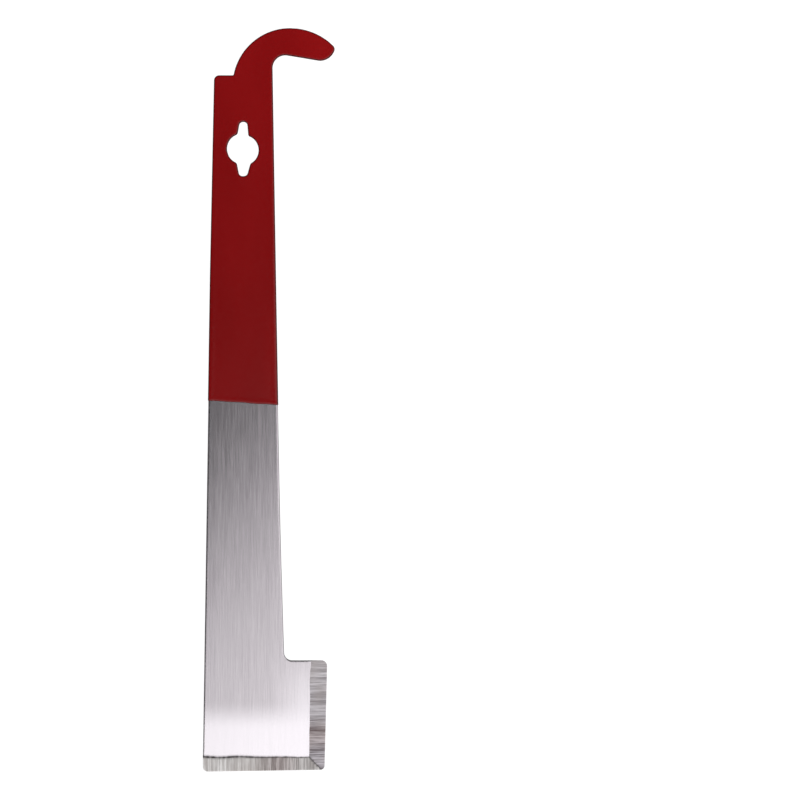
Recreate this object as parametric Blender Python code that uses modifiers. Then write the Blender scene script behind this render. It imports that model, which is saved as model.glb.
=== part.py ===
"""A J-hook hive tool, the flat steel bar that a beekeeper pries and scrapes with.

It lies on its back face. +Z leaves the face that the edges are ground on, +Y runs towards the
hook, and +X is the side that the hook's tip and the lobe of the scraper point to. The origin is
under the middle of its bounding box. The blade is one steel plate. The coating is the paint film
around the hook half of it.

All the dimensions below are in millimetres, and the scene is in metres. The outline and the hole
are those of the bare plate, before the paint adds its thickness.
"""
import math

import bmesh
import bpy
from mathutils import Vector

MM = 0.001

# Overall
LENGTH = 266.7
HALF_LENGTH = LENGTH / 2
PLATE_THICKNESS = 2.8
EDGE_ROUNDING = 0.3
EDGE_ROUNDING_STEPS = 2

# Paint film
FILM_THICKNESS = 0.10
FILM_CLEARANCE = 0.04
PAINT_LINE_MIDDLE = (-8.4, -1.1)
PAINT_LINE_LEAN = math.radians(-3.4)

PAINT_GROWTH = FILM_CLEARANCE + FILM_THICKNESS

# Levels above the surface that the tool lies on
PLATE_BACK_Z = PAINT_GROWTH
PLATE_FRONT_Z = PLATE_BACK_Z + PLATE_THICKNESS

# Scraper end and its side lobe
SCRAPER_LEFT_X = -23.65
SCRAPER_RIGHT_X = 20.0
SCRAPER_RIGHT_RISE = 0.7
LOBE_TOP_Y = -93.4
LOBE_TOP_X = 21.0
LOBE_ROOT_X = 5.55

# Shaft, widening from the hook to the scraper
SHAFT_LEFT_KNEE = (-20.95, 43.0)
SHAFT_RIGHT_KNEE = (3.95, -36.0)
SHOULDER_X = -19.4
SHOULDER_Y = 116.27
HOOK_ROOT_X = -12.45

# Hook
HOOK_TOP = (7.5, HALF_LENGTH - PAINT_GROWTH)
HOOK_BACK_RADIUS = 20.5
HOOK_NOSE_RADIUS = 22.5
HOOK_TIP = (23.7, 126.3)
HOOK_TIP_RADIUS = 5.4
HOOK_HEEL = (18.0, 121.84)
THROAT_CORNER = (1.15, 124.65)
THROAT_RADIUS = 4.7

# Keyed nail hole: a round opening with a slot above and a tapered slot below
HOLE_TOP_Y = 99.9
HOLE_BOTTOM_Y = 80.1
HOLE_LEFT_RADIUS = 5.6
HOLE_RIGHT_RADIUS = 5.57
UPPER_END_LEFT_X = -10.52
UPPER_END_RIGHT_X = -7.6
UPPER_MOUTH_LEFT = (-11.3, 95.4)
UPPER_MOUTH_RIGHT = (-7.13, 94.8)
LOWER_MOUTH_LEFT = (-11.58, 84.9)
LOWER_MOUTH_RIGHT = (-6.4, 84.65)
LOWER_END_LEFT_X = -10.65
LOWER_END_RIGHT_X = -7.7

# Corner radii
SCRAPER_CORNER_RADIUS = 1.7
SHAFT_KNEE_RADIUS = 60.0
SHOULDER_RADIUS = 1.7
HOOK_ROOT_RADIUS = 0.7
HOOK_TOP_RADIUS = 5.0
TIP_CORNER_RADIUS = 1.4
HEEL_RADIUS = 2.0
LOBE_ROOT_RADIUS = 2.9
LOBE_TOP_RADIUS = 2.1
LOBE_CORNER_RADIUS = 1.5
UPPER_SLOT_LEFT_RADIUS = 1.6
UPPER_SLOT_RIGHT_RADIUS = 1.5
LOWER_SLOT_RADIUS = 1.65
MOUTH_RADIUS = 1.1
SHARP_MOUTH_RADIUS = 0.5

# Ground edges: each runs down from its inner line on the front face
GRIND_ANGLE = math.radians(23.5)
SCRAPER_GRIND_Y = -127.95
LOBE_GRIND_X = 14.6
LOBE_GRIND_LEAN = math.radians(0.8)
GRIND_CUTTER_SIZE = (120.0, 20.0, 12.0)
BARE_HALF_SIZE = (80.0, LENGTH, 20.0)

# Materials
STEEL_COLOUR = (0.50, 0.48, 0.49)
STEEL_ROUGHNESS = 0.34
ENAMEL_COLOUR = (0.19, 0.008, 0.010)
ENAMEL_ROUGHNESS = 0.33

# How finely arcs are divided
ARC_STEP = math.radians(9)
CORNER_STEP = math.radians(15)
SHORTEST_FACET = 0.35
FEWEST_FACETS = 2

# Edges sharper than the rim angle are the plate's rims, and those under the flat angle are no edges
RIM_ANGLE = math.radians(60)
FLAT_ANGLE = math.radians(0.05)
WELD_DISTANCE = 0.001


def arc(start, end, radius):
    """Points after start, up to end, on the shorter clockwise arc of this radius."""
    start, end = Vector(start), Vector(end)
    chord = end - start
    to_centre = Vector((chord.y, -chord.x)).normalized()
    depth = math.sqrt(radius**2 - (chord.length / 2) ** 2)
    centre = (start + end) / 2 + to_centre * depth
    sweep = 2 * math.asin(chord.length / (2 * radius))
    steps = max(FEWEST_FACETS, round(sweep / ARC_STEP))
    first = math.atan2(start.y - centre.y, start.x - centre.x)
    angles = [first - sweep * step / steps for step in range(1, steps + 1)]
    return [centre + radius * Vector((math.cos(a), math.sin(a))) for a in angles]


def edge_points(start, end, radius):
    """Points from start to end along a straight edge, or along an arc if it has a radius."""
    if radius is None:
        return [Vector(start), Vector(end)]
    return [Vector(start)] + arc(start, end, radius)


def cut_back(points, length):
    """Shorten a run of points by this length at its start, and leave no sliver at the cut."""
    points = list(points)
    while len(points) > 2 and (points[1] - points[0]).length <= length:
        length -= (points[1] - points[0]).length
        points.pop(0)
    points[0] = points[0] + (points[1] - points[0]).normalized() * length
    while len(points) > 2 and (points[1] - points[0]).length < SHORTEST_FACET:
        points.pop(1)
    return points


def corner(before, after, turn):
    """Points between two trimmed edges, on an arc that turns by this angle."""
    start, end = before[-1], after[0]
    chord = end - start
    radius = chord.length / (2 * math.sin(turn / 2))
    facets = min(abs(turn) / CORNER_STEP, radius * turn / SHORTEST_FACET)
    steps = max(FEWEST_FACETS, round(facets))
    to_centre = Vector((-chord.y, chord.x)).normalized()
    centre = (start + end) / 2 + to_centre * radius * math.cos(turn / 2)
    arm = start - centre
    turns = [turn * step / steps for step in range(1, steps)]
    return [centre + Vector((arm.x * math.cos(a) - arm.y * math.sin(a),
                             arm.x * math.sin(a) + arm.y * math.cos(a))) for a in turns]


def rounded_outline(corners):
    """A closed outline from corners: point, corner radius, radius of the edge that follows."""
    count = len(corners)
    edges = []
    for index, (point, _, edge_radius) in enumerate(corners):
        edges.append(edge_points(point, corners[(index + 1) % count][0], edge_radius))
    turns = []
    for index in range(count):
        heading = edges[index - 1][-1] - edges[index - 1][-2]
        leaving = edges[index][1] - edges[index][0]
        turns.append(-heading.angle_signed(leaving))
    for index, (_, radius, _) in enumerate(corners):
        trim = radius * math.tan(abs(turns[index]) / 2)
        edges[index] = cut_back(edges[index], trim)
        edges[index - 1] = cut_back(edges[index - 1][::-1], trim)[::-1]
    outline = []
    for index in range(count):
        outline += corner(edges[index - 1], edges[index], turns[index])
        outline += edges[index]
    return outline


def body_outline():
    """The plate's outer edge, clockwise from the scraper's left corner."""
    return rounded_outline([
        ((SCRAPER_LEFT_X, -HALF_LENGTH), SCRAPER_CORNER_RADIUS, None),
        (SHAFT_LEFT_KNEE, SHAFT_KNEE_RADIUS, None),
        ((SHOULDER_X, SHOULDER_Y), SHOULDER_RADIUS, None),
        ((HOOK_ROOT_X, SHOULDER_Y), HOOK_ROOT_RADIUS, HOOK_BACK_RADIUS),
        (HOOK_TOP, HOOK_TOP_RADIUS, HOOK_NOSE_RADIUS),
        (HOOK_TIP, TIP_CORNER_RADIUS, HOOK_TIP_RADIUS),
        (HOOK_HEEL, HEEL_RADIUS, None),
        (THROAT_CORNER, THROAT_RADIUS, None),
        (SHAFT_RIGHT_KNEE, SHAFT_KNEE_RADIUS, None),
        ((LOBE_ROOT_X, LOBE_TOP_Y), LOBE_ROOT_RADIUS, None),
        ((LOBE_TOP_X, LOBE_TOP_Y), LOBE_TOP_RADIUS, None),
        ((SCRAPER_RIGHT_X, -HALF_LENGTH + SCRAPER_RIGHT_RISE), LOBE_CORNER_RADIUS, None),
    ])


def hole_outline():
    """The keyed hole's edge, clockwise from the upper slot's left end."""
    return rounded_outline([
        ((UPPER_END_LEFT_X, HOLE_TOP_Y), UPPER_SLOT_LEFT_RADIUS, None),
        ((UPPER_END_RIGHT_X, HOLE_TOP_Y), UPPER_SLOT_RIGHT_RADIUS, None),
        (UPPER_MOUTH_RIGHT, SHARP_MOUTH_RADIUS, HOLE_RIGHT_RADIUS),
        (LOWER_MOUTH_RIGHT, MOUTH_RADIUS, None),
        ((LOWER_END_RIGHT_X, HOLE_BOTTOM_Y), LOWER_SLOT_RADIUS, None),
        ((LOWER_END_LEFT_X, HOLE_BOTTOM_Y), LOWER_SLOT_RADIUS, None),
        (LOWER_MOUTH_LEFT, MOUTH_RADIUS, HOLE_LEFT_RADIUS),
        (UPPER_MOUTH_LEFT, MOUTH_RADIUS, None),
    ])


def offset_outline(points, distance):
    """The same clockwise outline with every side moved outwards by this distance."""
    moved = []
    for index, point in enumerate(points):
        into = (point - points[index - 1]).normalized()
        out = (points[(index + 1) % len(points)] - point).normalized()
        mitre = Vector((-into.y - out.y, into.x + out.x)).normalized()
        reach = distance / mitre.dot(Vector((-into.y, into.x)))
        moved.append(point + mitre * reach)
    return moved


def collection(name):
    """A new collection in the scene."""
    group = bpy.data.collections.new(name)
    bpy.context.scene.collection.children.link(group)
    return group


def plain_material(name, colour, roughness, metallic):
    """A plain Principled material."""
    material = bpy.data.materials.new(name)
    material.use_nodes = True
    shader = material.node_tree.nodes["Principled BSDF"]
    shader.inputs["Base Color"].default_value = (*colour, 1.0)
    shader.inputs["Roughness"].default_value = roughness
    shader.inputs["Metallic"].default_value = metallic
    material.diffuse_color = (*colour, 1.0)
    return material


def plate_curve(name, growth, group):
    """The flat outline and its hole, filled and as thick as the plate, grown on every side."""
    curve = bpy.data.curves.new(name, "CURVE")
    curve.dimensions = "2D"
    curve.fill_mode = "BOTH"
    curve.extrude = (PLATE_THICKNESS / 2 + growth) * MM
    for points in (offset_outline(body_outline(), growth), offset_outline(hole_outline(), -growth)):
        spline = curve.splines.new("POLY")
        spline.points.add(len(points) - 1)
        for control, point in zip(spline.points, points):
            control.co = (point.x * MM, point.y * MM, 0.0, 1.0)
        spline.use_cyclic_u = True
    flat = bpy.data.objects.new(name, curve)
    flat.location.z = (PLATE_BACK_Z + PLATE_THICKNESS / 2) * MM
    group.objects.link(flat)
    bpy.context.view_layer.update()
    return flat


def as_mesh(name, flat, group):
    """Turn a curve object into a welded mesh object in the same place, with whole flat faces."""
    evaluated = flat.evaluated_get(bpy.context.evaluated_depsgraph_get())
    mesh = bpy.data.meshes.new_from_object(evaluated)
    body = bmesh.new()
    body.from_mesh(mesh)
    bmesh.ops.remove_doubles(body, verts=body.verts, dist=WELD_DISTANCE * MM)
    bmesh.ops.dissolve_limit(body, angle_limit=FLAT_ANGLE, verts=body.verts, edges=body.edges)
    body.to_mesh(mesh)
    body.free()
    solid = bpy.data.objects.new(name, mesh)
    solid.matrix_world = flat.matrix_world
    group.objects.link(solid)
    bpy.data.objects.remove(flat)
    return solid


def plate(name, growth, group):
    """The plate with its rims rounded, and with every surface moved outwards by growth."""
    solid = as_mesh(name, plate_curve(name + "_outline", growth, group), group)
    rounding = solid.modifiers.new("Rounded rims", "BEVEL")
    rounding.width = (EDGE_ROUNDING + growth) * MM
    rounding.segments = EDGE_ROUNDING_STEPS
    rounding.limit_method = "ANGLE"
    rounding.angle_limit = RIM_ANGLE
    rounding.use_clamp_overlap = False
    return solid


def only_cuts(cutter, group):
    """Keep a cutter out of renders, and in the cutters' collection."""
    cutter.hide_render = True
    cutter.display_type = "WIRE"
    for owner in cutter.users_collection:
        owner.objects.unlink(cutter)
    group.objects.link(cutter)


def box_cutter(name, size, middle, group):
    """A box that only cuts. Its middle is this far from its origin, in parts of its size."""
    bpy.ops.mesh.primitive_cube_add(size=1.0)
    cutter = bpy.context.object
    cutter.name = name
    for vertex in cutter.data.vertices:
        vertex.co = (vertex.co + Vector(middle)) * Vector(size) * MM
    only_cuts(cutter, group)
    return cutter


def grind_cutter(name, point, turn, group):
    """A box whose lower face is a ground facet, falling away from a line through this point."""
    cutter = box_cutter(name, GRIND_CUTTER_SIZE, (0.0, -0.5, 0.5), group)
    cutter.location = Vector((*point, PLATE_FRONT_Z)) * MM
    cutter.rotation_euler = (GRIND_ANGLE, 0.0, turn)
    return cutter


def cut(solid, cutter):
    """Subtract the cutter."""
    boolean = solid.modifiers.new(cutter.name, "BOOLEAN")
    boolean.operation = "DIFFERENCE"
    boolean.solver = "EXACT"
    boolean.object = cutter


def build_steel_blade(parts, cutters):
    """The whole steel plate, ground on the front face along the scraper's end and the lobe."""
    blade = plate("steel_blade", 0.0, parts)
    cut(blade, grind_cutter("scraper_grind", (0.0, SCRAPER_GRIND_Y), 0.0, cutters))
    lobe_turn = math.radians(90) - LOBE_GRIND_LEAN
    cut(blade, grind_cutter("lobe_grind", (LOBE_GRIND_X, SCRAPER_GRIND_Y), lobe_turn, cutters))
    blade.data.materials.append(plain_material("brushed_steel", STEEL_COLOUR, STEEL_ROUGHNESS, 1.0))


def build_red_coating(parts, cutters):
    """The paint film around the hook half of the plate, open where the paint ends."""
    coating = plate("red_coating", PAINT_GROWTH, parts)
    inside = plate("inside_of_coating", FILM_CLEARANCE, cutters)
    only_cuts(inside, cutters)
    cut(coating, inside)
    bare_half = box_cutter("bare_half", BARE_HALF_SIZE, (0.0, -0.5, 0.0), cutters)
    bare_half.location = Vector((*PAINT_LINE_MIDDLE, 0.0)) * MM
    bare_half.rotation_euler.z = PAINT_LINE_LEAN
    cut(coating, bare_half)
    coating.data.materials.append(plain_material("red_enamel", ENAMEL_COLOUR, ENAMEL_ROUGHNESS, 0.0))


def main():
    """Build the hive tool in an empty scene."""
    for leftover in list(bpy.data.objects):
        bpy.data.objects.remove(leftover)
    parts = collection("hive_tool")
    cutters = collection("cutters")
    build_steel_blade(parts, cutters)
    build_red_coating(parts, cutters)


main()
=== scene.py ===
"""The looks of the hive tool: a ground and brushed steel blade, and a red enamel coat on its hook half.

Both pieces are rebuilt from the CAD's own faces with finer meshes. Lengths are in metres, and
MM is one millimetre. The tool lies on its back, with the hook towards +Y.
"""
import math

import bmesh
import bpy
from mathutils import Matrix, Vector, geometry, kdtree, noise


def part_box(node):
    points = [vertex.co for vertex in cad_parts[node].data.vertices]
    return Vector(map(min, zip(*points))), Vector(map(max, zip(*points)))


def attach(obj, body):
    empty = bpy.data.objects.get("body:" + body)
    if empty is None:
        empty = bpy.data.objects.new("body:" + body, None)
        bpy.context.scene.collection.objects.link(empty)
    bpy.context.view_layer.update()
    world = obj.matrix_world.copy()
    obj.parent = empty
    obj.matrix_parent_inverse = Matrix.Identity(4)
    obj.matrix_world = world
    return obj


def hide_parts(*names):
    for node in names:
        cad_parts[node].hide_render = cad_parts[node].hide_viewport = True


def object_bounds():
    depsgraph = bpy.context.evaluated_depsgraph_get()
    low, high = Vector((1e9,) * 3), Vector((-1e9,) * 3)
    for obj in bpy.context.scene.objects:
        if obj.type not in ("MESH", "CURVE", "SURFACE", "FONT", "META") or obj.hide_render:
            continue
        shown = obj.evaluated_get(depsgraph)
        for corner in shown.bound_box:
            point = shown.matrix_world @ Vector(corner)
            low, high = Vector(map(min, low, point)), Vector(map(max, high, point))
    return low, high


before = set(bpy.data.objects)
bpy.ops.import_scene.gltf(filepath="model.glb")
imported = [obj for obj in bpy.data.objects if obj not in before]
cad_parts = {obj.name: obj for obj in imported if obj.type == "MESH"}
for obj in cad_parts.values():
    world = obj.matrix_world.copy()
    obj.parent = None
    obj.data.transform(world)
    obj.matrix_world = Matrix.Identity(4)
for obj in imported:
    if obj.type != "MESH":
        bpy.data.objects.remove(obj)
cad_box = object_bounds()

MM = 0.001

# The plate and its paint, as the CAD has them
RIM_RADIUS = 0.30 * MM
FILM = 0.10 * MM
BACK_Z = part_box("steel_blade")[0].z
FRONT_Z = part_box("steel_blade")[1].z
COAT_BACK_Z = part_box("red_coating")[0].z
GROWTH = BACK_Z - COAT_BACK_Z

# How closely points have to agree
WELD_DISTANCE = 0.001 * MM
LEVEL_TOLERANCE = 0.01 * MM
CUT_TOLERANCE = 0.0001 * MM

# How finely the meshes are divided
OUTLINE_STEP = 0.6 * MM
CURVE_STEP = math.radians(3)
RIM_STEPS = 6
EDGE_ROWS = (0.3 * MM, 0.7 * MM, 1.2 * MM, 1.9 * MM, 2.8 * MM)
GRID_STEP = 2.6 * MM

# Which slanted faces of the CAD are the ground facets, by the height of their normals
FACET_NORMAL_LOW = 0.85
FACET_NORMAL_HIGH = 0.95

# Which faces of the new mesh count as facing up or sideways, by the height of their normals
FACING_UP = 0.6
FACING_SIDEWAYS = 0.35

# Where each kind of smooth noise is read, so that no two of them follow each other
SEED = {
    "scraper_crease": 3.1,
    "lobe_crease": 8.7,
    "scraper_scratch": 1.3,
    "scraper_long_scratch": 5.5,
    "lobe_band": 2.2,
    "lobe_scratch": 6.6,
    "shade_line": 9.3,
    "paint": 4.4,
}

# Relief of the ground facets
CRISP_RIM = 0.05 * MM
CREASE_WAVE = 0.16 * MM
CREASE_WAVE_LENGTH = 7.0 * MM
GROOVE_DEPTH = 0.09 * MM
GROOVE_WIDTH = 0.16 * MM
GROOVE_PLACE = 0.16 * MM
GROOVE_SHALLOW_X = 0.018
GROOVE_DEEP_X = -0.024
GROOVE_SHALLOWEST = 0.45
MARKS_FADE = 0.25 * MM
SCRATCH_RELIEF = 0.012 * MM
SCRATCH_LENGTH = 0.7 * MM
LONG_SCRATCH_LENGTH = 2.3 * MM
LONG_SCRATCH_SHARE = 0.6
LOBE_SCRATCH_LENGTH = 0.45 * MM
BAND_RELIEF = 0.030 * MM
BAND_LENGTH = 1.3 * MM
BAND_WEAK_Y = -0.128
BAND_FULL_Y = -0.112
BAND_WEAKEST = 0.35
FACET_ALONG = 0.28 * MM
FACET_DOWN = 0.9 * MM
FACET_ROWS = 8
FACET_FIRST_ROW = 0.2 * MM
GROUND_BACK_RIM = 0.12 * MM
GROUND_FADE = 0.4 * MM
LOBE_HEIGHT = 42.0 * MM
CREASE_MARGIN = 0.10 * MM
POINT_MARGIN = 0.25 * MM
CREASE_ROWS = (
    -1.0 * MM, -0.60 * MM, -0.30 * MM, -0.12 * MM,
    0.08 * MM, 0.16 * MM, 0.26 * MM, 0.40 * MM, 0.6 * MM,
)

# The mitre between the two facets
MITRE_START_X = 14.2 * MM
MITRE_RUN = 6.5 * MM
MITRE_STEPS = 26
MITRE_LOW_Y = -0.140
MITRE_HIGH_Y = -0.120
HALVINGS = 30

# The painted shade line along the scraper's crease and the fainter painted shade line along the mitre
SHADE_LINE_PLACE = 0.05 * MM
SHADE_LINE_WIDTH = 0.42 * MM
SHADE_LINE_NARROWEST = 0.75
SHADE_LINE_WIDENING = 0.5
SHADE_LINE_PALE_X = 0.016
SHADE_LINE_DARK_X = -0.022
SHADE_LINE_PALEST = 0.72
SHADE_LINE_RAGGEDNESS = 0.25
SHADE_LINE_RAGGED_LENGTH = 1.1 * MM
SHADE_LINE_CLEAR_OF_LOBE = 0.1 * MM
BACK_BAND = 0.2 * MM
MITRE_WIDTH = 0.22 * MM
MITRE_DARKNESS = 0.8

# A planar UV map that gives the brushing its direction
UV_NAME = "brushing"
UV_SPAN = 300 * MM

# Edge of the paint
PAINT_ROWS = (0.06 * MM, 0.14 * MM, 0.25 * MM, 0.45 * MM, 0.8 * MM, 1.4 * MM, 2.4 * MM)
PAINT_WAVE = 0.14 * MM
PAINT_WAVE_LENGTH = 5.0 * MM
PAINT_TAPER_START = -0.02 * MM
PAINT_TAPER = 0.35 * MM
PAINT_BEAD = 0.02 * MM
FAT_EDGE = 0.02 * MM
FAT_EDGE_PLACE = 1.1 * MM
FAT_EDGE_WIDTH = 0.6 * MM
PAINT_LIP = 0.25

# Colours, each a dark and a pale one where the surface is streaked
# Painted shade that darkens the steel along the creases
CREASE_SHADE_COLOUR = (0.05, 0.045, 0.045)
STEEL_PLAIN = ((0.45, 0.415, 0.445), (0.66, 0.615, 0.652))
STEEL_CLOUD = (0.57, 0.54, 0.565)
# Painted highlight on the brushed face
STEEL_PAINTED_HIGHLIGHT = ((0.82, 0.78, 0.82), (0.90, 0.855, 0.90))
CUT_STEEL = ((0.22, 0.21, 0.215), (0.42, 0.41, 0.42))
FACET_PALE = ((0.58, 0.55, 0.54), (1.0, 0.98, 0.97))
# Painted shade on the ground facets
FACET_PAINTED_SHADE = ((0.18, 0.158, 0.16), (0.64, 0.60, 0.60))
FACET_STAIN = ((0.16, 0.11, 0.105), (0.62, 0.54, 0.54))
FACET_PATCH = (0.46, 0.40, 0.38)
STAIN_STRENGTH = 0.75
ENAMEL = ((0.149, 0.0028, 0.0033), (0.166, 0.0034, 0.0040))
# Painted shade on the enamel's rims
ENAMEL_RIM_SHADE = (0.060, 0.0008, 0.0012)

# Where a painted highlight brightens the brushed face: towards the scraper's end, and partly beside the
# lobe
HIGHLIGHT_START_Y = -0.1075
HIGHLIGHT_FULL_Y = -0.1185
LOBE_SIDE_START_X = -0.004
LOBE_SIDE_FULL_X = 0.0165
LOBE_SIDE_HIGHLIGHT = 0.7
LOBE_ZONE_START_Y = -0.082
LOBE_ZONE_FULL_Y = -0.112

# How each facet's marks run, where along an axis painted shade darkens it, and where heat has stained
# it brown
FACET_FINISHES = {
    "ground_scraper": {
        "stretch": (1.0, 0.04, 0.04),
        "axis": "X",
        "darkens": (-0.014, 0.044),
        "blueness": 1.0,
        "stain": (-0.008, 0.004, 0.014),
    },
    "ground_lobe": {
        "stretch": (0.04, 1.0, 0.04),
        "axis": "Y",
        "darkens": (-0.035, -0.135),
        "blueness": 1.07,
        "stain": (-0.113, -0.1205, -0.1275),
    },
}

# Floor, ceiling, surroundings and camera
FLOOR_SIZE = 12.0
FLOOR_GAP = 0.05 * MM
FLOOR_GREY = 0.08
FLOOR_ROUGHNESS = 0.8
FLOOR_GLOW = 1.0
CEILING_SIZE = 3.0
CEILING_Z = 1.5
CEILING_BRIGHT_Y = -0.049
CEILING_DARK_Y = 0.001
CEILING_SLANT = 1.0
CEILING_BRIGHT = 1.25
CEILING_DARK = 0.005
WORLD_BELOW = 0.05
WORLD_ABOVE = 0.6
WORLD_LEVELS = ((0.470, 0.05), (0.486, 1.0), (0.545, 1.0), (0.60, 0.38), (0.72, 0.42), (0.80, 0.7))
CAMERA_LENS = 300.0
SENSOR = 36.0
FRAME_TO_TOOL = 1.0754
CAMERA_X = 47.1 * MM


# ---------------------------------------------------------------- reading the CAD's faces


def cad_mesh(node):
    """The node's mesh, welded."""
    body = bmesh.new()
    body.from_mesh(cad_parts[node].data)
    bmesh.ops.remove_doubles(body, verts=body.verts, dist=WELD_DISTANCE)
    body.normal_update()
    return body


def flat_loops(body, level):
    """The closed outlines of the faces that lie flat at this height."""
    flat = [
        face for face in body.faces
        if all(abs(vertex.co.z - level) < LEVEL_TOLERANCE for vertex in face.verts)
    ]
    members = set(flat)
    following = {}
    for face in flat:
        for corner in face.loops:
            across = [other for other in corner.edge.link_faces if other is not face]
            if not across or across[0] not in members:
                following[corner.vert.index] = corner.link_loop_next.vert.index
    body.verts.ensure_lookup_table()
    loops = []
    while following:
        start = at = next(iter(following))
        loop = []
        while at in following:
            loop.append(body.verts[at].co.to_2d())
            at = following.pop(at)
        if at == start and len(loop) > 2:
            loops.append(loop)
    return loops


def signed_area(loop):
    """Twice the loop's area, positive where it runs anticlockwise."""
    return sum(a.x * b.y - b.x * a.y for a, b in zip(loop, loop[1:] + loop[:1]))


def smooth_loop(loop):
    """A fine smooth outline through the loop's points, straight where the loop is straight."""
    count = len(loop)
    fine = []
    for index in range(count):
        before, start = loop[index - 1], loop[index]
        end, after = loop[(index + 1) % count], loop[(index + 2) % count]
        length = (end - start).length
        leaving = (end - before).normalized() * length
        arriving = (after - start).normalized() * length
        bend = abs(leaving.angle(arriving))
        steps = max(1, math.ceil(length / OUTLINE_STEP), math.ceil(bend / CURVE_STEP))
        for step in range(steps):
            t = step / steps
            fine.append(start * (2 * t**3 - 3 * t**2 + 1) + leaving * (t**3 - 2 * t**2 + t)
                        + end * (3 * t**2 - 2 * t**3) + arriving * (t**3 - t**2))
    return fine


def outward(loop):
    """The outward mitre of each point of a loop that has the solid on its left."""
    mitres = []
    for index, point in enumerate(loop):
        into = (point - loop[index - 1]).normalized()
        out = (loop[(index + 1) % len(loop)] - point).normalized()
        across = Vector((into.y + out.y, -into.x - out.x)).normalized()
        mitres.append(across / max(0.5, across.dot(Vector((into.y, -into.x)))))
    return mitres


def moved(loop, distance):
    """The loop with every point moved outwards by a distance, or by one distance each."""
    distances = distance if isinstance(distance, list) else [distance] * len(loop)
    return [point + mitre * d for point, mitre, d in zip(loop, outward(loop), distances)]


def plate_outlines():
    """The plate's outer outline and its hole's, each with the solid on its left."""
    body = cad_mesh("steel_blade")
    loops = sorted(flat_loops(body, BACK_Z), key=lambda loop: -abs(signed_area(loop)))[:2]
    body.free()
    outlines = []
    for index, loop in enumerate(loops):
        anticlockwise = signed_area(loop) > 0
        if anticlockwise != (index == 0):
            loop = loop[::-1]
        outlines.append(moved(smooth_loop(loop), RIM_RADIUS))
    return outlines


def ground_planes():
    """The (point, normal) of the scraper's facet and of the lobe's, the two largest slanted faces."""
    body = cad_mesh("steel_blade")
    areas = {}
    for face in body.faces:
        if FACET_NORMAL_LOW < face.normal.z < FACET_NORMAL_HIGH:
            key = tuple(round(value, 2) for value in face.normal)
            area, _, _ = areas.get(key, (0.0, None, None))
            areas[key] = (area + face.calc_area(), face.verts[0].co.copy(), face.normal.copy())
    body.free()
    largest = sorted(areas.values(), key=lambda entry: -entry[0])[:2]
    scraper, lobe = sorted(((point, normal) for _, point, normal in largest), key=lambda p: p[1].y)
    return scraper, lobe


def paint_plane():
    """A point on the line where the paint ends, and the direction towards the bare steel."""
    body = cad_mesh("red_coating")
    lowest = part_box("red_coating")[0].y
    ends = [
        face for face in body.faces
        if face.normal.y < -0.9 and face.calc_center_median().y < lowest + 2 * MM
    ]
    normal = sum((face.normal * face.calc_area() for face in ends), Vector()).normalized()
    centres = [face.calc_center_median() for face in ends]
    point = sum(centres, Vector()) / len(centres)
    body.free()
    return point, normal


OUTLINES = plate_outlines()
SCRAPER_PLANE, LOBE_PLANE = ground_planes()
PAINT_POINT, PAINT_NORMAL = paint_plane()


# ---------------------------------------------------------------- the shape of the front face


def wave(along, length, seed):
    """Smooth noise between about -1 and 1 along one direction."""
    return noise.noise(Vector((along / length, seed, 0.0))) * 2.0


def smooth_step(low, high, value):
    """0 below low, 1 above high, and smooth between."""
    t = min(1.0, max(0.0, (value - low) / (high - low)))
    return t * t * (3 - 2 * t)


def plane_height(plane, x, y):
    """The height of a slanted plane above a point."""
    point, normal = plane
    return point.z - (normal.x * (x - point.x) + normal.y * (y - point.y)) / normal.z


def plane_slope(plane):
    """How steeply a slanted plane falls."""
    _, normal = plane
    return math.hypot(normal.x, normal.y) / normal.z


def facet_depth(plane, x, y, seed):
    """How far a ground facet lies below the front face. It is negative where the front is lower."""
    _, normal = plane
    flat = normal.to_2d().normalized()
    along = -flat.y * x + flat.x * y
    shift = CREASE_WAVE * wave(along, CREASE_WAVE_LENGTH, seed)
    return FRONT_Z - plane_height(plane, x, y) + shift * plane_slope(plane)


def scraper_depth(x, y):
    """Depth of the scraper's facet, by its plane alone."""
    return facet_depth(SCRAPER_PLANE, x, y, SEED["scraper_crease"])


def lobe_depth(x, y):
    """Depth of the lobe's facet, by its plane alone."""
    return facet_depth(LOBE_PLANE, x, y, SEED["lobe_crease"])


def scraper_groove(x, run):
    """The groove along the scraper's crease, this far down the facet. It is deepest at the left."""
    deep = smooth_step(GROOVE_SHALLOW_X, GROOVE_DEEP_X, x)
    groove = math.exp(-((run - GROOVE_PLACE) / GROOVE_WIDTH) ** 2)
    return GROOVE_DEPTH * (GROOVE_SHALLOWEST + (1.0 - GROOVE_SHALLOWEST) * deep) * groove


def scraper_scratches(x):
    """The depth of the marks that run down the scraper's facet."""
    short = wave(x, SCRATCH_LENGTH, SEED["scraper_scratch"])
    long = wave(x, LONG_SCRATCH_LENGTH, SEED["scraper_long_scratch"])
    return SCRATCH_RELIEF * (short + LONG_SCRATCH_SHARE * long)


def lobe_scratches(y):
    """The depth of the bands and marks that run across the lobe's facet, strongest at its top."""
    upper = smooth_step(BAND_WEAK_Y, BAND_FULL_Y, y)
    strength = BAND_WEAKEST + (1.0 - BAND_WEAKEST) * upper
    bands = BAND_RELIEF * strength * wave(y, BAND_LENGTH, SEED["lobe_band"])
    return bands + SCRATCH_RELIEF * wave(y, LOBE_SCRATCH_LENGTH, SEED["lobe_scratch"])


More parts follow.
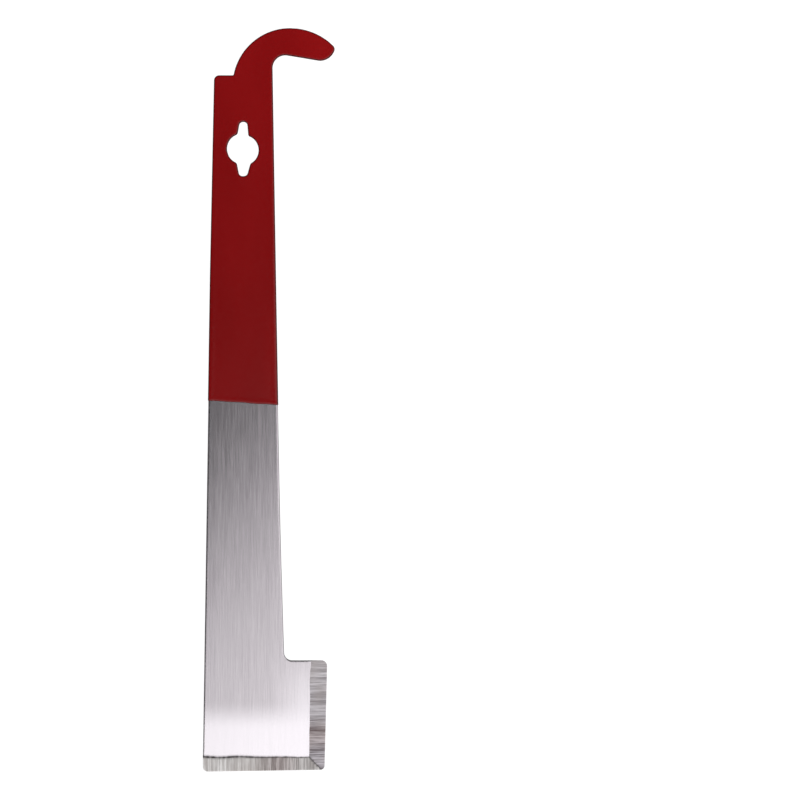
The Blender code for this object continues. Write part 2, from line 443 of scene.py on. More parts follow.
def front_relief(x, y):
    """The front face's height, with both ground facets, their grinding marks and the groove."""
    scraper, lobe = scraper_depth(x, y), lobe_depth(x, y)
    depth = max(0.0, scraper, lobe)
    if depth == 0.0:
        return FRONT_Z
    fade = smooth_step(0.0, MARKS_FADE, depth)
    if scraper >= lobe:
        depth += scraper_groove(x, scraper / plane_slope(SCRAPER_PLANE)) + fade * scraper_scratches(x)
    else:
        depth += fade * lobe_scratches(y)
    return FRONT_Z - depth


# ---------------------------------------------------------------- building a plate


def inside(loop, x, y):
    """Whether a point is inside a closed outline."""
    found = False
    for index, a in enumerate(loop):
        b = loop[index - 1]
        if (a.y > y) != (b.y > y) and x < (b.x - a.x) * (y - a.y) / (b.y - a.y) + a.x:
            found = not found
    return found


class Rim:
    """The distance to the nearest outline, and tests of what is on the plate."""

    def __init__(self, loops):
        self.loops = loops
        points = [point for loop in loops for point in loop]
        self.tree = kdtree.KDTree(len(points))
        for index, point in enumerate(points):
            self.tree.insert(point.to_3d(), index)
        self.tree.balance()

    def distance(self, x, y):
        """Distance to the nearest point of an outline."""
        return self.tree.find(Vector((x, y, 0.0)))[2]

    def holds(self, x, y, margin):
        """Whether a point is on the plate and this far from its rims."""
        if self.distance(x, y) < margin:
            return False
        return inside(self.loops[0], x, y) and not inside(self.loops[1], x, y)


def edge_rows(loops, rim):
    """Points in rows that run along the rims."""
    points = []
    for loop in loops:
        for row in EDGE_ROWS:
            for point in moved(loop, -row)[::2]:
                if rim.holds(point.x, point.y, row * 0.85):
                    points.append(point)
    return points


def grid_points(loops, rim):
    """An even grid of points over the rest of the plate."""
    xs = [point.x for point in loops[0]]
    ys = [point.y for point in loops[0]]
    columns = math.ceil((max(xs) - min(xs)) / GRID_STEP)
    rows = math.ceil((max(ys) - min(ys)) / GRID_STEP)
    points = []
    for row in range(rows):
        for column in range(columns):
            x = min(xs) + (column + 0.5 * (row % 2)) * GRID_STEP
            y = min(ys) + row * GRID_STEP
            if rim.holds(x, y, EDGE_ROWS[-1] + GRID_STEP / 2):
                points.append(Vector((x, y)))
    return points


def facet_frame(plane):
    """The directions down a facet and along it, and its slope."""
    flat = plane[1].to_2d()
    down = flat.normalized()
    return down, Vector((-down.y, down.x)), flat.length / plane[1].z


def crease_line(plane, depth_at, start, end):
    """Points where a facet meets the front face, between two places along it."""
    down, along, slope = facet_frame(plane)
    steps = math.ceil((end - start) / FACET_ALONG)
    points = []
    for step in range(steps + 1):
        place = along * (start + (end - start) * step / steps)
        depth = depth_at(place.x, place.y)
        points.append(place - down * (depth / slope))
    return points


def anticlockwise(points, triangle):
    """The triangle's points in anticlockwise order."""
    a, b, c = (points[index] for index in triangle)
    turns_left = (b - a).cross(c - a) > 0
    return tuple(triangle) if turns_left else tuple(reversed(triangle))


def triangulate(points, edges, hole):
    """Points and triangles inside the edges but not in the hole, and each point's old number."""
    flat, _, triangles, old, _, _ = geometry.delaunay_2d_cdt(points, edges, [], 1, CUT_TOLERANCE)
    low = Vector((min(p.x for p in hole), min(p.y for p in hole)))
    high = Vector((max(p.x for p in hole), max(p.y for p in hole)))
    kept = []
    for triangle in triangles:
        middle = sum((flat[index] for index in triangle), Vector((0.0, 0.0))) / 3
        near = low.x < middle.x < high.x and low.y < middle.y < high.y
        if not (near and inside(hole, middle.x, middle.y)):
            kept.append(anticlockwise(flat, triangle))
    return flat, kept, old


def cap_edges(loops):
    """All the points of the loops, and the edges that close each loop."""
    points, edges = [], []
    for loop in loops:
        first = len(points)
        count = len(loop)
        points += loop
        edges += [(first + index, first + (index + 1) % count) for index in range(count)]
    return points, edges


def boundary_loops(triangles):
    """The closed boundaries of a set of triangles, as lists of point numbers."""
    following = {}
    directed = {(t[i], t[(i + 1) % 3]) for t in triangles for i in range(3)}
    for a, b in directed:
        if (b, a) not in directed:
            following[a] = b
    loops = []
    while following:
        at = next(iter(following))
        loop = []
        while at in following:
            loop.append(at)
            at = following.pop(at)
        loops.append(loop)
    return loops


def rim_rings(loop_points, tops, top_radius, bottom_radius, back_z):
    """Rings of points from the front face's edge, round both rims, to the back face's edge."""
    mitres = outward(loop_points)
    rings = []
    for step in range(1, RIM_STEPS + 1):
        turn = math.pi / 2 * step / RIM_STEPS
        ring = []
        for point, mitre, top, radius in zip(loop_points, mitres, tops, top_radius):
            place = point + mitre * radius * math.sin(turn)
            ring.append(Vector((place.x, place.y, top - radius * (1 - math.cos(turn)))))
        rings.append(ring)
    for step in range(RIM_STEPS + 1):
        turn = math.pi / 2 * step / RIM_STEPS
        ring = []
        for point, mitre, outer, lower in zip(loop_points, mitres, top_radius, bottom_radius):
            place = point + mitre * (outer - lower * (1 - math.cos(turn)))
            ring.append(Vector((place.x, place.y, back_z + lower * (1 - math.sin(turn)))))
        rings.append(ring)
    return rings


def front_points(loops, top_loops, creases, extra, rim):
    """Every point of the front face, and the edges that its triangles have to keep."""
    points, edges = cap_edges(top_loops)
    for crease in creases:
        kept = [p for p in crease if rim.holds(p.x, p.y, CREASE_MARGIN)]
        edges += [(len(points) + i, len(points) + i + 1) for i in range(len(kept) - 1)]
        points += kept
    points += edge_rows(loops, rim) + grid_points(loops, rim)
    points += [p for p in extra if rim.holds(p.x, p.y, POINT_MARGIN)]
    return points, edges


def add_rims(body, edge, around, height, radii, back_z):
    """Faces round both rims, from one edge of the front face. Returns the back rim's last ring."""
    pairs = [radii(p.x, p.y) for p in around]
    heights = [height(p.x, p.y) for p in around]
    rings = rim_rings(around, heights, [p[0] for p in pairs], [p[1] for p in pairs], back_z)
    previous = edge
    for ring in rings:
        current = [body.verts.new(point) for point in ring]
        for index in range(len(around)):
            body.faces.new((previous[index], current[index], current[index - 1],
                            previous[index - 1]))
        previous = current
    return previous


def add_back(body, last_rings, inner, back_z):
    """The flat back face, between the last rings of the outer rim and of the hole's."""
    loops = [[vertex.co.to_2d() for vertex in ring] for ring in last_rings]
    points, edges = cap_edges(loops)
    hole = min(loops, key=lambda loop: abs(signed_area(loop)))
    back = [vertex for ring in last_rings for vertex in ring]
    back += [body.verts.new((p.x, p.y, back_z)) for p in inner]
    _, triangles, old = triangulate(points + inner, edges, hole)
    for triangle in triangles:
        body.faces.new([back[old[index][0]] for index in reversed(triangle)])


def build_plate(loops, creases, extra, height, radii, back_z):
    """A closed plate: a front face with relief, rounded rims and a flat back face.

    height(x, y) is the front face's height, and radii(x, y) gives the front and back rim's radius
    at a point of the outline.
    """
    rim = Rim(loops)
    top_loops = [moved(loop, [-radii(p.x, p.y)[0] for p in loop]) for loop in loops]
    points, edges = front_points(loops, top_loops, creases, extra, rim)
    flat, triangles, _ = triangulate(points, edges, top_loops[1])

    body = bmesh.new()
    top = [body.verts.new((p.x, p.y, height(p.x, p.y))) for p in flat]
    for triangle in triangles:
        body.faces.new([top[index] for index in triangle])
    last_rings = []
    for loop in boundary_loops(triangles):
        edge = [top[index] for index in loop]
        around = [flat[index] for index in loop]
        last_rings.append(add_rims(body, edge, around, height, radii, back_z))
    add_back(body, last_rings, grid_points(loops, rim), back_z)
    bmesh.ops.recalc_face_normals(body, faces=body.faces)
    return body


def as_object(name, body, sharp_angle):
    """The finished mesh as a piece in the scene, with a UV map for the brushing."""
    layer = body.loops.layers.uv.new(UV_NAME)
    for face in body.faces:
        for corner in face.loops:
            x, y, z = corner.vert.co
            corner[layer].uv = ((x + 0.4 * z) / UV_SPAN + 0.5, (y + 0.4 * z) / UV_SPAN + 0.5)
    mesh = bpy.data.meshes.new(name)
    body.to_mesh(mesh)
    body.free()
    mesh.shade_smooth()
    mesh.set_sharp_from_angle(angle=sharp_angle)
    piece = bpy.data.objects.new(name, mesh)
    bpy.context.scene.collection.objects.link(piece)
    return piece


# ---------------------------------------------------------------- the steel blade


def steel_radii(x, y):
    """Front and back rim radius of the steel: crisp where a facet has been ground."""
    ground = smooth_step(0.0, GROUND_FADE, FRONT_Z - front_relief(x, y))
    return (RIM_RADIUS + (CRISP_RIM - RIM_RADIUS) * ground,
            RIM_RADIUS + (GROUND_BACK_RIM - RIM_RADIUS) * ground)


def facet_creases():
    """Where the facets meet the front face and each other, and rows of points beside them."""
    lowest = min(point.y for point in OUTLINES[0])
    left, right = min(point.x for point in OUTLINES[0]), max(point.x for point in OUTLINES[0])
    scraper_line = crease_line(SCRAPER_PLANE, scraper_depth, left, right)
    lobe_line = crease_line(LOBE_PLANE, lobe_depth, lowest, lowest + LOBE_HEIGHT)
    scraper_line = [p for p in scraper_line if lobe_depth(p.x, p.y) < 0]
    lobe_line = [p for p in lobe_line if scraper_depth(p.x, p.y) < 0]
    rows = []
    for line, plane in ((scraper_line, SCRAPER_PLANE), (lobe_line, LOBE_PLANE)):
        down = facet_frame(plane)[0]
        rows += [p + down * row for row in CREASE_ROWS for p in line]
    return [scraper_line, lobe_line], rows


def facet_points():
    """Points over both facets, close together along the edge and wider apart down the slope."""
    lowest = min(point.y for point in OUTLINES[0])
    left, right = min(point.x for point in OUTLINES[0]), max(point.x for point in OUTLINES[0])
    points = []
    for plane, depth_at, other, start, end in (
        (SCRAPER_PLANE, scraper_depth, lobe_depth, left, right),
        (LOBE_PLANE, lobe_depth, scraper_depth, lowest, lowest + LOBE_HEIGHT),
    ):
        down = facet_frame(plane)[0]
        for start_point in crease_line(plane, depth_at, start, end):
            for row in range(1, FACET_ROWS):
                p = start_point + down * (FACET_DOWN * row + FACET_FIRST_ROW)
                if depth_at(p.x, p.y) > other(p.x, p.y):
                    points.append(p)
    return points


def mitre_line():
    """Points along the line where the two facets meet."""
    points = []
    for step in range(MITRE_STEPS):
        x = MITRE_START_X + MITRE_RUN * step / MITRE_STEPS
        low, high = MITRE_LOW_Y, MITRE_HIGH_Y
        for _ in range(HALVINGS):
            middle = (low + high) / 2
            if scraper_depth(x, middle) > lobe_depth(x, middle):
                low = middle
            else:
                high = middle
        if scraper_depth(x, middle) > 0:
            points.append(Vector((x, middle)))
    return points


def painted_crease_shade(x, y):
    """How much painted shade darkens the steel: about 1 along the top of the scraper's facet, less
    along the mitre.
    """
    scraper, lobe = scraper_depth(x, y), lobe_depth(x, y)
    slope = plane_slope(SCRAPER_PLANE)
    line = 0.0
    if lobe < SHADE_LINE_CLEAR_OF_LOBE:
        left = smooth_step(SHADE_LINE_PALE_X, SHADE_LINE_DARK_X, x)
        width = SHADE_LINE_WIDTH * (SHADE_LINE_NARROWEST + SHADE_LINE_WIDENING * left)
        ragged = 1.0 + SHADE_LINE_RAGGEDNESS * wave(x, SHADE_LINE_RAGGED_LENGTH, SEED["shade_line"])
        strength = (SHADE_LINE_PALEST + (1.0 - SHADE_LINE_PALEST) * left) * ragged
        line = strength * math.exp(-((scraper / slope - SHADE_LINE_PLACE) / width) ** 2)
    mitre = 0.0
    if min(scraper, lobe) > 0.0:
        mitre = MITRE_DARKNESS * math.exp(-((scraper - lobe) / slope / MITRE_WIDTH) ** 2)
    return min(1.0, max(line, mitre))


def build_steel_blade():
    """The whole plate in steel, with a material for each way that it is finished."""
    creases, rows = facet_creases()
    creases.append(mitre_line())
    body = build_plate(OUTLINES, creases, rows + facet_points(), front_relief, steel_radii, BACK_Z)
    for face in body.faces:
        middle = face.calc_center_median()
        depth = max(scraper_depth(middle.x, middle.y), lobe_depth(middle.x, middle.y))
        if face.normal.z > FACING_UP and depth > 0:
            on_scraper = scraper_depth(middle.x, middle.y) > lobe_depth(middle.x, middle.y)
            face.material_index = 1 if on_scraper else 2
        elif abs(face.normal.z) < FACING_SIDEWAYS:
            face.material_index = 3
    # Painted shade along the creases, kept at each point
    shade = body.verts.layers.float.new("painted_crease_shade")
    for vertex in body.verts:
        above_back = vertex.co.z > BACK_Z + BACK_BAND
        vertex[shade] = painted_crease_shade(vertex.co.x, vertex.co.y) if above_back else 0.0
    blade = as_object("blade", body, math.radians(18))
    blade.data.materials.append(brushed_steel("brushed_face"))
    blade.data.materials.append(ground_steel("ground_scraper"))
    blade.data.materials.append(ground_steel("ground_lobe"))
    blade.data.materials.append(cut_edge("cut_edge"))
    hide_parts("steel_blade")
    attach(blade, "root")
    return blade


# ---------------------------------------------------------------- the red enamel


COAT_OUTLINES = [moved(outline, GROWTH) for outline in OUTLINES]
COAT_RIM = Rim(COAT_OUTLINES)


def from_paint_line(point):
    """Distance from the end of the paint, positive on the painted side."""
    return -(point - PAINT_POINT).dot(PAINT_NORMAL)


def coat_height(x, y):
    """The enamel's front face, a little thicker along its rims where it gathered as it dried."""
    return FRONT_Z + GROWTH + FAT_EDGE * fat_edge(COAT_RIM.distance(x, y))


def fat_edge(distance):
    """A low soft ridge that runs along inside the rim."""
    return math.exp(-((distance - FAT_EDGE_PLACE) / FAT_EDGE_WIDTH) ** 2)


def coat_radii(x, y):
    """Front and back rim radius of the enamel."""
    return RIM_RADIUS + GROWTH, RIM_RADIUS + GROWTH


def cut_bare_half(body):
    """Cut rows of points beside the paint line, and remove the half that has no paint."""
    for row in (0.0, *PAINT_ROWS):
        geometry_now = body.verts[:] + body.edges[:] + body.faces[:]
        bmesh.ops.bisect_plane(body, geom=geometry_now, dist=CUT_TOLERANCE,
                               plane_co=PAINT_POINT - PAINT_NORMAL * row,
                               plane_no=PAINT_NORMAL, clear_outer=(row == 0.0))


def shape_paint_end(body):
    """Thin the film towards its end, and let that end wander. Returns each point's film factor."""
    body.normal_update()
    moves = []
    factors = []
    for vertex in body.verts:
        distance = from_paint_line(vertex.co)
        full = 1.0
        if distance < PAINT_TAPER:
            full = math.sqrt(smooth_step(PAINT_TAPER_START, PAINT_TAPER, distance))
        factor = PAINT_LIP + (1.0 - PAINT_LIP) * full
        bead = PAINT_BEAD * math.exp(-((distance - 2 * PAINT_TAPER) / PAINT_TAPER) ** 2)
        along = Vector((vertex.co.x / PAINT_WAVE_LENGTH, vertex.co.z / MM, SEED["paint"]))
        near_end = 1.0 - smooth_step(0.0, PAINT_ROWS[-1], distance)
        wander = PAINT_WAVE * noise.noise(along) * 2.0 * near_end
        moves.append(vertex.normal * (bead - FILM * (1.0 - factor)) + PAINT_NORMAL * wander)
        factors.append(factor)
    for vertex, move in zip(body.verts, moves):
        vertex.co += move
    return factors


def build_red_enamel():
    """The paint film: a thin shell around the hook half that ends in a thin soft edge."""
    body = build_plate(COAT_OUTLINES, [], [], coat_height, coat_radii, COAT_BACK_Z)
    cut_bare_half(body)
    factors = shape_paint_end(body)
    coat = as_object("enamel", body, math.radians(40))
    film = coat.vertex_groups.new(name="film")
    for index, factor in enumerate(factors):
        film.add([index], factor, "REPLACE")
    shell = coat.modifiers.new("Film", "SOLIDIFY")
    shell.thickness = FILM
    shell.offset = -1.0
    shell.use_even_offset = False
    shell.use_rim = True
    shell.vertex_group = "film"
    coat.data.materials.append(red_enamel("red_enamel_coat"))
    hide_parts("red_coating")
    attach(coat, "root")
    return coat


# ---------------------------------------------------------------- materials


class Nodes:
    """A material's node tree, with short ways to add the nodes that are used here."""

    def __init__(self, name):
        self.material = bpy.data.materials.new(name)
        self.material.use_nodes = True
        self.tree = self.material.node_tree
        self.shader = self.tree.nodes["Principled BSDF"]
        self.place = self.tree.nodes.new("ShaderNodeTexCoord").outputs["Object"]

    def link(self, source, target):
        """Join an output to an input."""
        self.tree.links.new(source, target)

    def stretched(self, scale, shift=(0.0, 0.0, 0.0)):
        """Object coordinates in millimetres, scaled along each axis."""
        mapping = self.tree.nodes.new("ShaderNodeMapping")
        mapping.inputs["Scale"].default_value = [value / MM for value in scale]
        mapping.inputs["Location"].default_value = shift
        self.link(self.place, mapping.inputs["Vector"])
        return mapping.outputs["Vector"]

    def noise(self, scale, detail=2.0, roughness=0.5, shift=(0.0, 0.0, 0.0)):
        """Noise with this many features per millimetre along each axis."""
        texture = self.tree.nodes.new("ShaderNodeTexNoise")
        texture.inputs["Scale"].default_value = 1.0
        texture.inputs["Detail"].default_value = detail
        texture.inputs["Roughness"].default_value = roughness
        self.link(self.stretched(scale, shift), texture.inputs["Vector"])
        return texture.outputs["Fac"]

    def remap(self, value, low, high, to_low, to_high, smooth=False):
        """A value moved from one range to another."""
        node = self.tree.nodes.new("ShaderNodeMapRange")
        node.interpolation_type = "SMOOTHSTEP" if smooth else "LINEAR"
        node.inputs["From Min"].default_value = low
        node.inputs["From Max"].default_value = high
        node.inputs["To Min"].default_value = to_low
        node.inputs["To Max"].default_value = to_high
        self.link(value, node.inputs["Value"])
        return node.outputs["Result"]

    def math(self, operation, first, second):
        """A Math node. Its second input may be a number."""
        node = self.tree.nodes.new("ShaderNodeMath")
        node.operation = operation
        self.link(first, node.inputs[0])
        if isinstance(second, (int, float)):
            node.inputs[1].default_value = second
        else:
            self.link(second, node.inputs[1])
        return node.outputs["Value"]

    def product(self, first, second):
        """Two values multiplied."""
        return self.math("MULTIPLY", first, second)

    def inverse(self, value):
        """What is left of 1 without the value."""
        return self.math("SUBTRACT", self.product(value, -1.0), -1.0)

    def mix(self, factor, first, second):
        """A mix of two colours, each a colour or an output."""
        node = self.tree.nodes.new("ShaderNodeMix")
        node.data_type = "RGBA"
        self.link(factor, node.inputs["Factor"])
        for name, value in (("A", first), ("B", second)):
            socket = next(s for s in node.inputs if s.name == name and s.type == "RGBA")
            if isinstance(value, tuple):
                socket.default_value = (*value, 1.0)
            else:
                self.link(value, socket)
        return next(s for s in node.outputs if s.type == "RGBA")

    def position(self, axis):
        """One object coordinate, in metres."""
        split = self.tree.nodes.new("ShaderNodeSeparateXYZ")
        self.link(self.place, split.inputs["Vector"])
        return split.outputs[axis]

    def bump(self, height, distance):
        """A bump of this height in metres."""
        node = self.tree.nodes.new("ShaderNodeBump")
        node.inputs["Strength"].default_value = 1.0
        node.inputs["Distance"].default_value = distance
        self.link(height, node.inputs["Height"])
        return node.outputs["Normal"]

    def attribute(self, name):
        """A number kept at each point of the mesh."""
        node = self.tree.nodes.new("ShaderNodeAttribute")
        node.attribute_name = name
        return node.outputs["Fac"]

    def edge_shade(self):
        """How far the surface has turned away from the flat faces: 0 on them, 1 on the rims."""
        turn = self.tree.nodes.new("ShaderNodeSeparateXYZ")
        self.link(self.tree.nodes.new("ShaderNodeTexCoord").outputs["Normal"], turn.inputs["Vector"])
        flatness = self.math("ABSOLUTE", turn.outputs["Z"], 0.0)
        return self.remap(flatness, 0.9995, 0.97, 0.0, 1.0)

    def along_uv(self):
        """Turn the stretched highlights along the piece's own UV map."""
        tangent = self.tree.nodes.new("ShaderNodeTangent")
        tangent.direction_type = "UV_MAP"
        tangent.uv_map = UV_NAME
        self.link(tangent.outputs["Tangent"], self.shader.inputs["Tangent"])

    def finish(self, colour, roughness, normal, metallic):
        """Feed the shader and return the material."""
        self.link(colour, self.shader.inputs["Base Color"])
        self.link(roughness, self.shader.inputs["Roughness"])
        self.link(normal, self.shader.inputs["Normal"])
        self.shader.inputs["Metallic"].default_value = metallic
        return self.material


def painted_highlight_of_face(nodes):
    """How much painted highlight brightens the brushed face: 1 towards the scraper's end, and partly so
    beside the lobe.
    """
    above_end = nodes.remap(nodes.position("Y"), HIGHLIGHT_START_Y, HIGHLIGHT_FULL_Y, 1.0, 0.0, smooth=True)
    side = nodes.remap(nodes.position("X"), LOBE_SIDE_START_X, LOBE_SIDE_FULL_X,
                       0.0, LOBE_SIDE_HIGHLIGHT, smooth=True)
    zone = nodes.remap(nodes.position("Y"), LOBE_ZONE_START_Y, LOBE_ZONE_FULL_Y,
                       0.0, 1.0, smooth=True)
    away_from_lobe = nodes.inverse(nodes.product(side, zone))
    return nodes.inverse(nodes.product(above_end, away_from_lobe))


def brushed_steel(name):
    """Steel brushed lengthwise, with a painted highlight that makes it brighter towards the scraper's
    end.
    """
    nodes = Nodes(name)
    fine = nodes.noise((3.4, 0.07, 1.0), detail=4.0, roughness=0.75)
    broad = nodes.noise((0.5, 0.010, 0.5), detail=3.0, roughness=0.6, shift=(5.0, 2.0, 1.0))
    cloud = nodes.noise((0.035, 0.022, 0.05), detail=2.0, shift=(1.0, 7.0, 3.0))
    streaks = nodes.math("ADD", nodes.product(fine, 0.75), nodes.product(broad, 0.25))
    across = nodes.remap(streaks, 0.36, 0.64, 0.0, 1.0)
    plain_steel = nodes.mix(across, *STEEL_PLAIN)
    plain_steel = nodes.mix(nodes.remap(cloud, 0.35, 0.7, 0.0, 0.35), plain_steel, STEEL_CLOUD)
    bright = nodes.mix(across, *STEEL_PAINTED_HIGHLIGHT)
    # Painted highlight over the brushed steel
    colour = nodes.mix(painted_highlight_of_face(nodes), plain_steel, bright)
    # Painted shade along the creases
    colour = nodes.mix(nodes.attribute("painted_crease_shade"), colour, CREASE_SHADE_COLOUR)
    roughness = nodes.remap(streaks, 0.3, 0.7, 0.13, 0.17)
    normal = nodes.bump(streaks, 0.004 * MM)
    nodes.shader.inputs["Anisotropic"].default_value = 0.6
    nodes.along_uv()
    return nodes.finish(colour, roughness, normal, 1.0)


def bluer(colours, blueness):
    """The same colours with their blue multiplied, up to 1."""
    return [(red, green, min(1.0, blue * blueness)) for red, green, blue in colours]


def ground_steel(name):
    """Coarsely ground steel with painted shade that darkens it along its facet and along its crease,
    and a brown heat stain part of the way.
    """
    finish = FACET_FINISHES[name]
    nodes = Nodes(name)
    fine_scale = tuple(2.2 * value for value in finish["stretch"])
    broad_scale = tuple(0.5 * value for value in finish["stretch"])
    fine = nodes.noise(fine_scale, detail=3.0, roughness=0.7)
    broad = nodes.noise(broad_scale, detail=2.0, shift=(3.0, 4.0, 5.0))
    patch = nodes.noise((0.10, 0.10, 0.10), detail=2.0, shift=(8.0, 1.0, 2.0))
    marks = nodes.math("ADD", nodes.product(fine, 0.6), nodes.product(broad, 0.4))
    across = nodes.remap(marks, 0.41, 0.59, 0.0, 1.0)
    pale = nodes.mix(across, *bluer(FACET_PALE, finish["blueness"]))
    dark = nodes.mix(across, *bluer(FACET_PAINTED_SHADE, finish["blueness"]))
    along = nodes.position(finish["axis"])
    # Painted shade that darkens the facet along one axis
    colour = nodes.mix(nodes.remap(along, *finish["darkens"], 0.0, 1.0), pale, dark)
    start, middle, end = finish["stain"]
    rising = nodes.remap(along, start, middle, 0.0, 1.0, smooth=True)
    falling = nodes.remap(along, middle, end, 1.0, 0.0, smooth=True)
    stain = nodes.product(nodes.product(rising, falling), STAIN_STRENGTH)
    colour = nodes.mix(stain, colour, nodes.mix(across, *FACET_STAIN))
    colour = nodes.mix(nodes.remap(patch, 0.45, 0.75, 0.0, 0.5), colour, FACET_PATCH)
    # Painted shade along the creases
    colour = nodes.mix(nodes.attribute("painted_crease_shade"), colour, CREASE_SHADE_COLOUR)
    roughness = nodes.remap(marks, 0.3, 0.7, 0.38, 0.55)
    normal = nodes.bump(marks, 0.02 * MM)
    return nodes.finish(colour, roughness, normal, 1.0)


def cut_edge(name):
    """The plate's narrow sides, left rough where the sheet was cut."""
    nodes = Nodes(name)
    marks = nodes.noise((3.0, 3.0, 0.25), detail=3.0, roughness=0.6)
    colour = nodes.mix(nodes.remap(marks, 0.35, 0.65, 0.0, 1.0), *CUT_STEEL)
    roughness = nodes.remap(marks, 0.3, 0.7, 0.42, 0.6)
    normal = nodes.bump(marks, 0.02 * MM)
    return nodes.finish(colour, roughness, normal, 1.0)


def red_enamel(name):
    """Deep red semi-gloss enamel with a faint orange peel, and painted shade on its rims."""
    nodes = Nodes(name)
    peel = nodes.noise((0.9, 0.9, 0.9), detail=2.0, roughness=0.45)
    drift = nodes.noise((0.06, 0.02, 0.06), detail=2.0, shift=(2.0, 6.0, 1.0))
    colour = nodes.mix(nodes.remap(drift, 0.35, 0.65, 0.0, 1.0), *ENAMEL)
    # Painted shade darkens the enamel's rounded rims
    colour = nodes.mix(nodes.edge_shade(), colour, ENAMEL_RIM_SHADE)
    roughness = nodes.remap(peel, 0.3, 0.7, 0.12, 0.17)
    normal = nodes.bump(peel, 0.010 * MM)
    nodes.shader.inputs["Specular IOR Level"].default_value = 0.3
    return nodes.finish(colour, roughness, normal, 0.0)


# ---------------------------------------------------------------- floor, lights and camera


def floor():
    """A plain pale floor that the tool lies on."""
    bpy.ops.mesh.primitive_plane_add(size=FLOOR_SIZE, location=(0.0, 0.0, cad_box[0].z - FLOOR_GAP))
    plane = bpy.context.object
    plane.name = "floor"
    material = bpy.data.materials.new("pale_floor")
    material.use_nodes = True
    shader = material.node_tree.nodes["Principled BSDF"]
    shader.inputs["Base Color"].default_value = (FLOOR_GREY, FLOOR_GREY, FLOOR_GREY, 1.0)
    shader.inputs["Roughness"].default_value = FLOOR_ROUGHNESS
    shader.inputs["Emission Color"].default_value = (1.0, 1.0, 1.0, 1.0)
    shader.inputs["Emission Strength"].default_value = FLOOR_GLOW
    plane.data.materials.append(material)
    plane.visible_glossy = False


def softbox(name, place, size, power, aim=(0.0, 0.0, 0.0)):
    """A white rectangular light that points at a place on the tool and isn't seen itself."""
    data = bpy.data.lights.new(name, "AREA")
    data.shape = "RECTANGLE"
    data.size, data.size_y = size
    data.energy = power
    light = bpy.data.objects.new(name, data)
    light.location = place
    light.rotation_euler = (Vector(place) - Vector(aim)).to_track_quat("Z", "Y").to_euler()
    light.visible_camera = False
    light.visible_glossy = False
    bpy.context.scene.collection.objects.link(light)
    return light


def ceiling():
    """A large card overhead, dark above the hook and bright beyond the scraper's end."""
    bpy.ops.mesh.primitive_plane_add(size=CEILING_SIZE, location=(0.0, 0.0, CEILING_Z))
    card = bpy.context.object
    card.name = "ceiling_card"
    material = bpy.data.materials.new("ceiling_glow")
    material.use_nodes = True
    tree = material.node_tree
    tree.nodes.remove(tree.nodes["Principled BSDF"])
    place = tree.nodes.new("ShaderNodeTexCoord")
    split = tree.nodes.new("ShaderNodeSeparateXYZ")
    ramp = tree.nodes.new("ShaderNodeValToRGB")
    scale = tree.nodes.new("ShaderNodeMapRange")
    glow = tree.nodes.new("ShaderNodeEmission")
    tree.links.new(place.outputs["Object"], split.inputs["Vector"])
    slant = tree.nodes.new("ShaderNodeMath")
    slant.operation = "MULTIPLY_ADD"
    slant.inputs[1].default_value = -CEILING_SLANT
    tree.links.new(split.outputs["X"], slant.inputs[0])
    tree.links.new(split.outputs["Y"], slant.inputs[2])
    tree.links.new(slant.outputs["Value"], scale.inputs["Value"])
    scale.interpolation_type = "SMOOTHSTEP"
    scale.inputs["From Min"].default_value = CEILING_BRIGHT_Y
    scale.inputs["From Max"].default_value = CEILING_DARK_Y
    tree.links.new(scale.outputs["Result"], ramp.inputs["Fac"])
    stops = ramp.color_ramp.elements
    stops[0].position, stops[0].color = 0.0, (CEILING_BRIGHT,) * 3 + (1.0,)
    stops[1].position, stops[1].color = 1.0, (CEILING_DARK,) * 3 + (1.0,)
    tree.links.new(ramp.outputs["Color"], glow.inputs["Color"])
    tree.links.new(glow.outputs["Emission"], tree.nodes["Material Output"].inputs["Surface"])
    card.data.materials.append(material)
    card.visible_camera = False


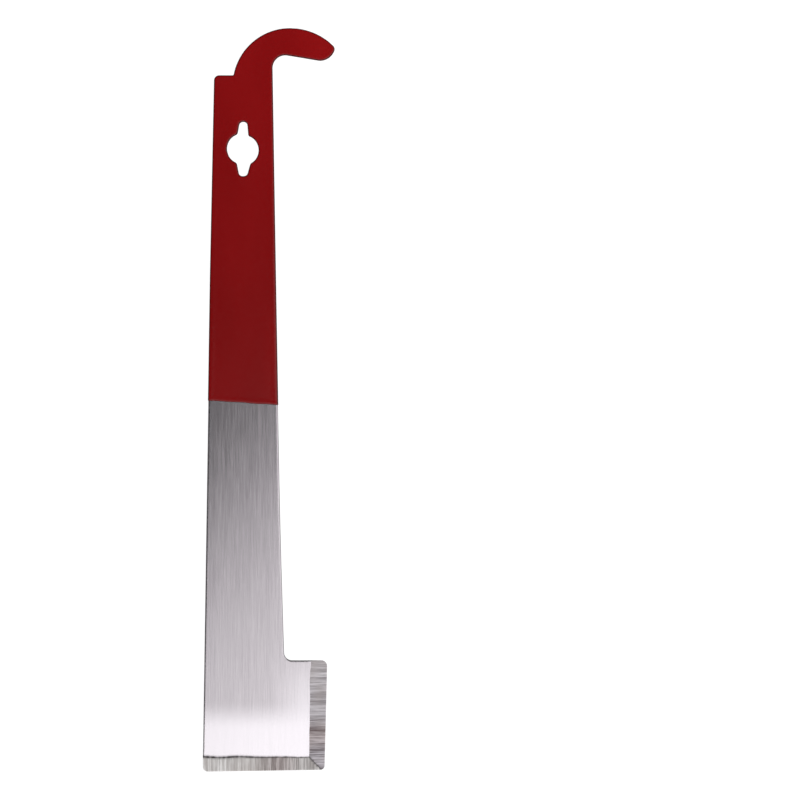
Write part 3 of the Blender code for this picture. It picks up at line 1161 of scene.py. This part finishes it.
def surroundings():
    """A white band along the horizon, dimmer walls above it, and brighter again higher up."""
    world = bpy.data.worlds.new("studio")
    bpy.context.scene.world = world
    world.use_nodes = True
    tree = world.node_tree
    direction = tree.nodes.new("ShaderNodeTexCoord")
    split = tree.nodes.new("ShaderNodeSeparateXYZ")
    height = tree.nodes.new("ShaderNodeMapRange")
    height.inputs["From Min"].default_value = -1.0
    ramp = tree.nodes.new("ShaderNodeValToRGB")
    tree.links.new(direction.outputs["Generated"], split.inputs["Vector"])
    tree.links.new(split.outputs["Z"], height.inputs["Value"])
    tree.links.new(height.outputs["Result"], ramp.inputs["Fac"])
    stops = ramp.color_ramp.elements
    stops[0].position, stops[0].color = 0.0, (WORLD_BELOW,) * 3 + (1.0,)
    stops[1].position, stops[1].color = 1.0, (WORLD_ABOVE,) * 3 + (1.0,)
    for place, level in WORLD_LEVELS:
        stop = stops.new(place)
        stop.color = (level, level, level, 1.0)
    tree.links.new(ramp.outputs["Color"], tree.nodes["Background"].inputs["Color"])


def camera():
    """A long lens straight above, with the tool standing left of the middle."""
    data = bpy.data.cameras.new("camera")
    data.lens = CAMERA_LENS
    data.sensor_width = SENSOR
    eye = bpy.data.objects.new("camera", data)
    width = (cad_box[1].y - cad_box[0].y) * FRAME_TO_TOOL
    eye.location = (CAMERA_X, 0.0, FRONT_Z + width * CAMERA_LENS / SENSOR)
    bpy.context.scene.collection.objects.link(eye)
    bpy.context.scene.camera = eye


def lights():
    """Soft light from the scraper's end and from both sides, and a small light beside the hook."""
    softbox("end_light", (0.2, -1.5, 1.0), (1.6, 0.9), 12.0)
    softbox("left_light", (-1.5, 0.1, 1.0), (0.9, 1.6), 12.0)
    softbox("right_light", (1.5, 0.1, 1.0), (0.9, 1.6), 12.0)
    softbox("hook_light", (0.10, 0.20, 0.10), (0.08, 0.05), 0.19, aim=(0.015, 0.12, 0.0))


floor()
ceiling()
surroundings()
lights()
camera()
build_steel_blade()
build_red_enamel()
bpy.context.scene.view_settings.view_transform = "Standard"
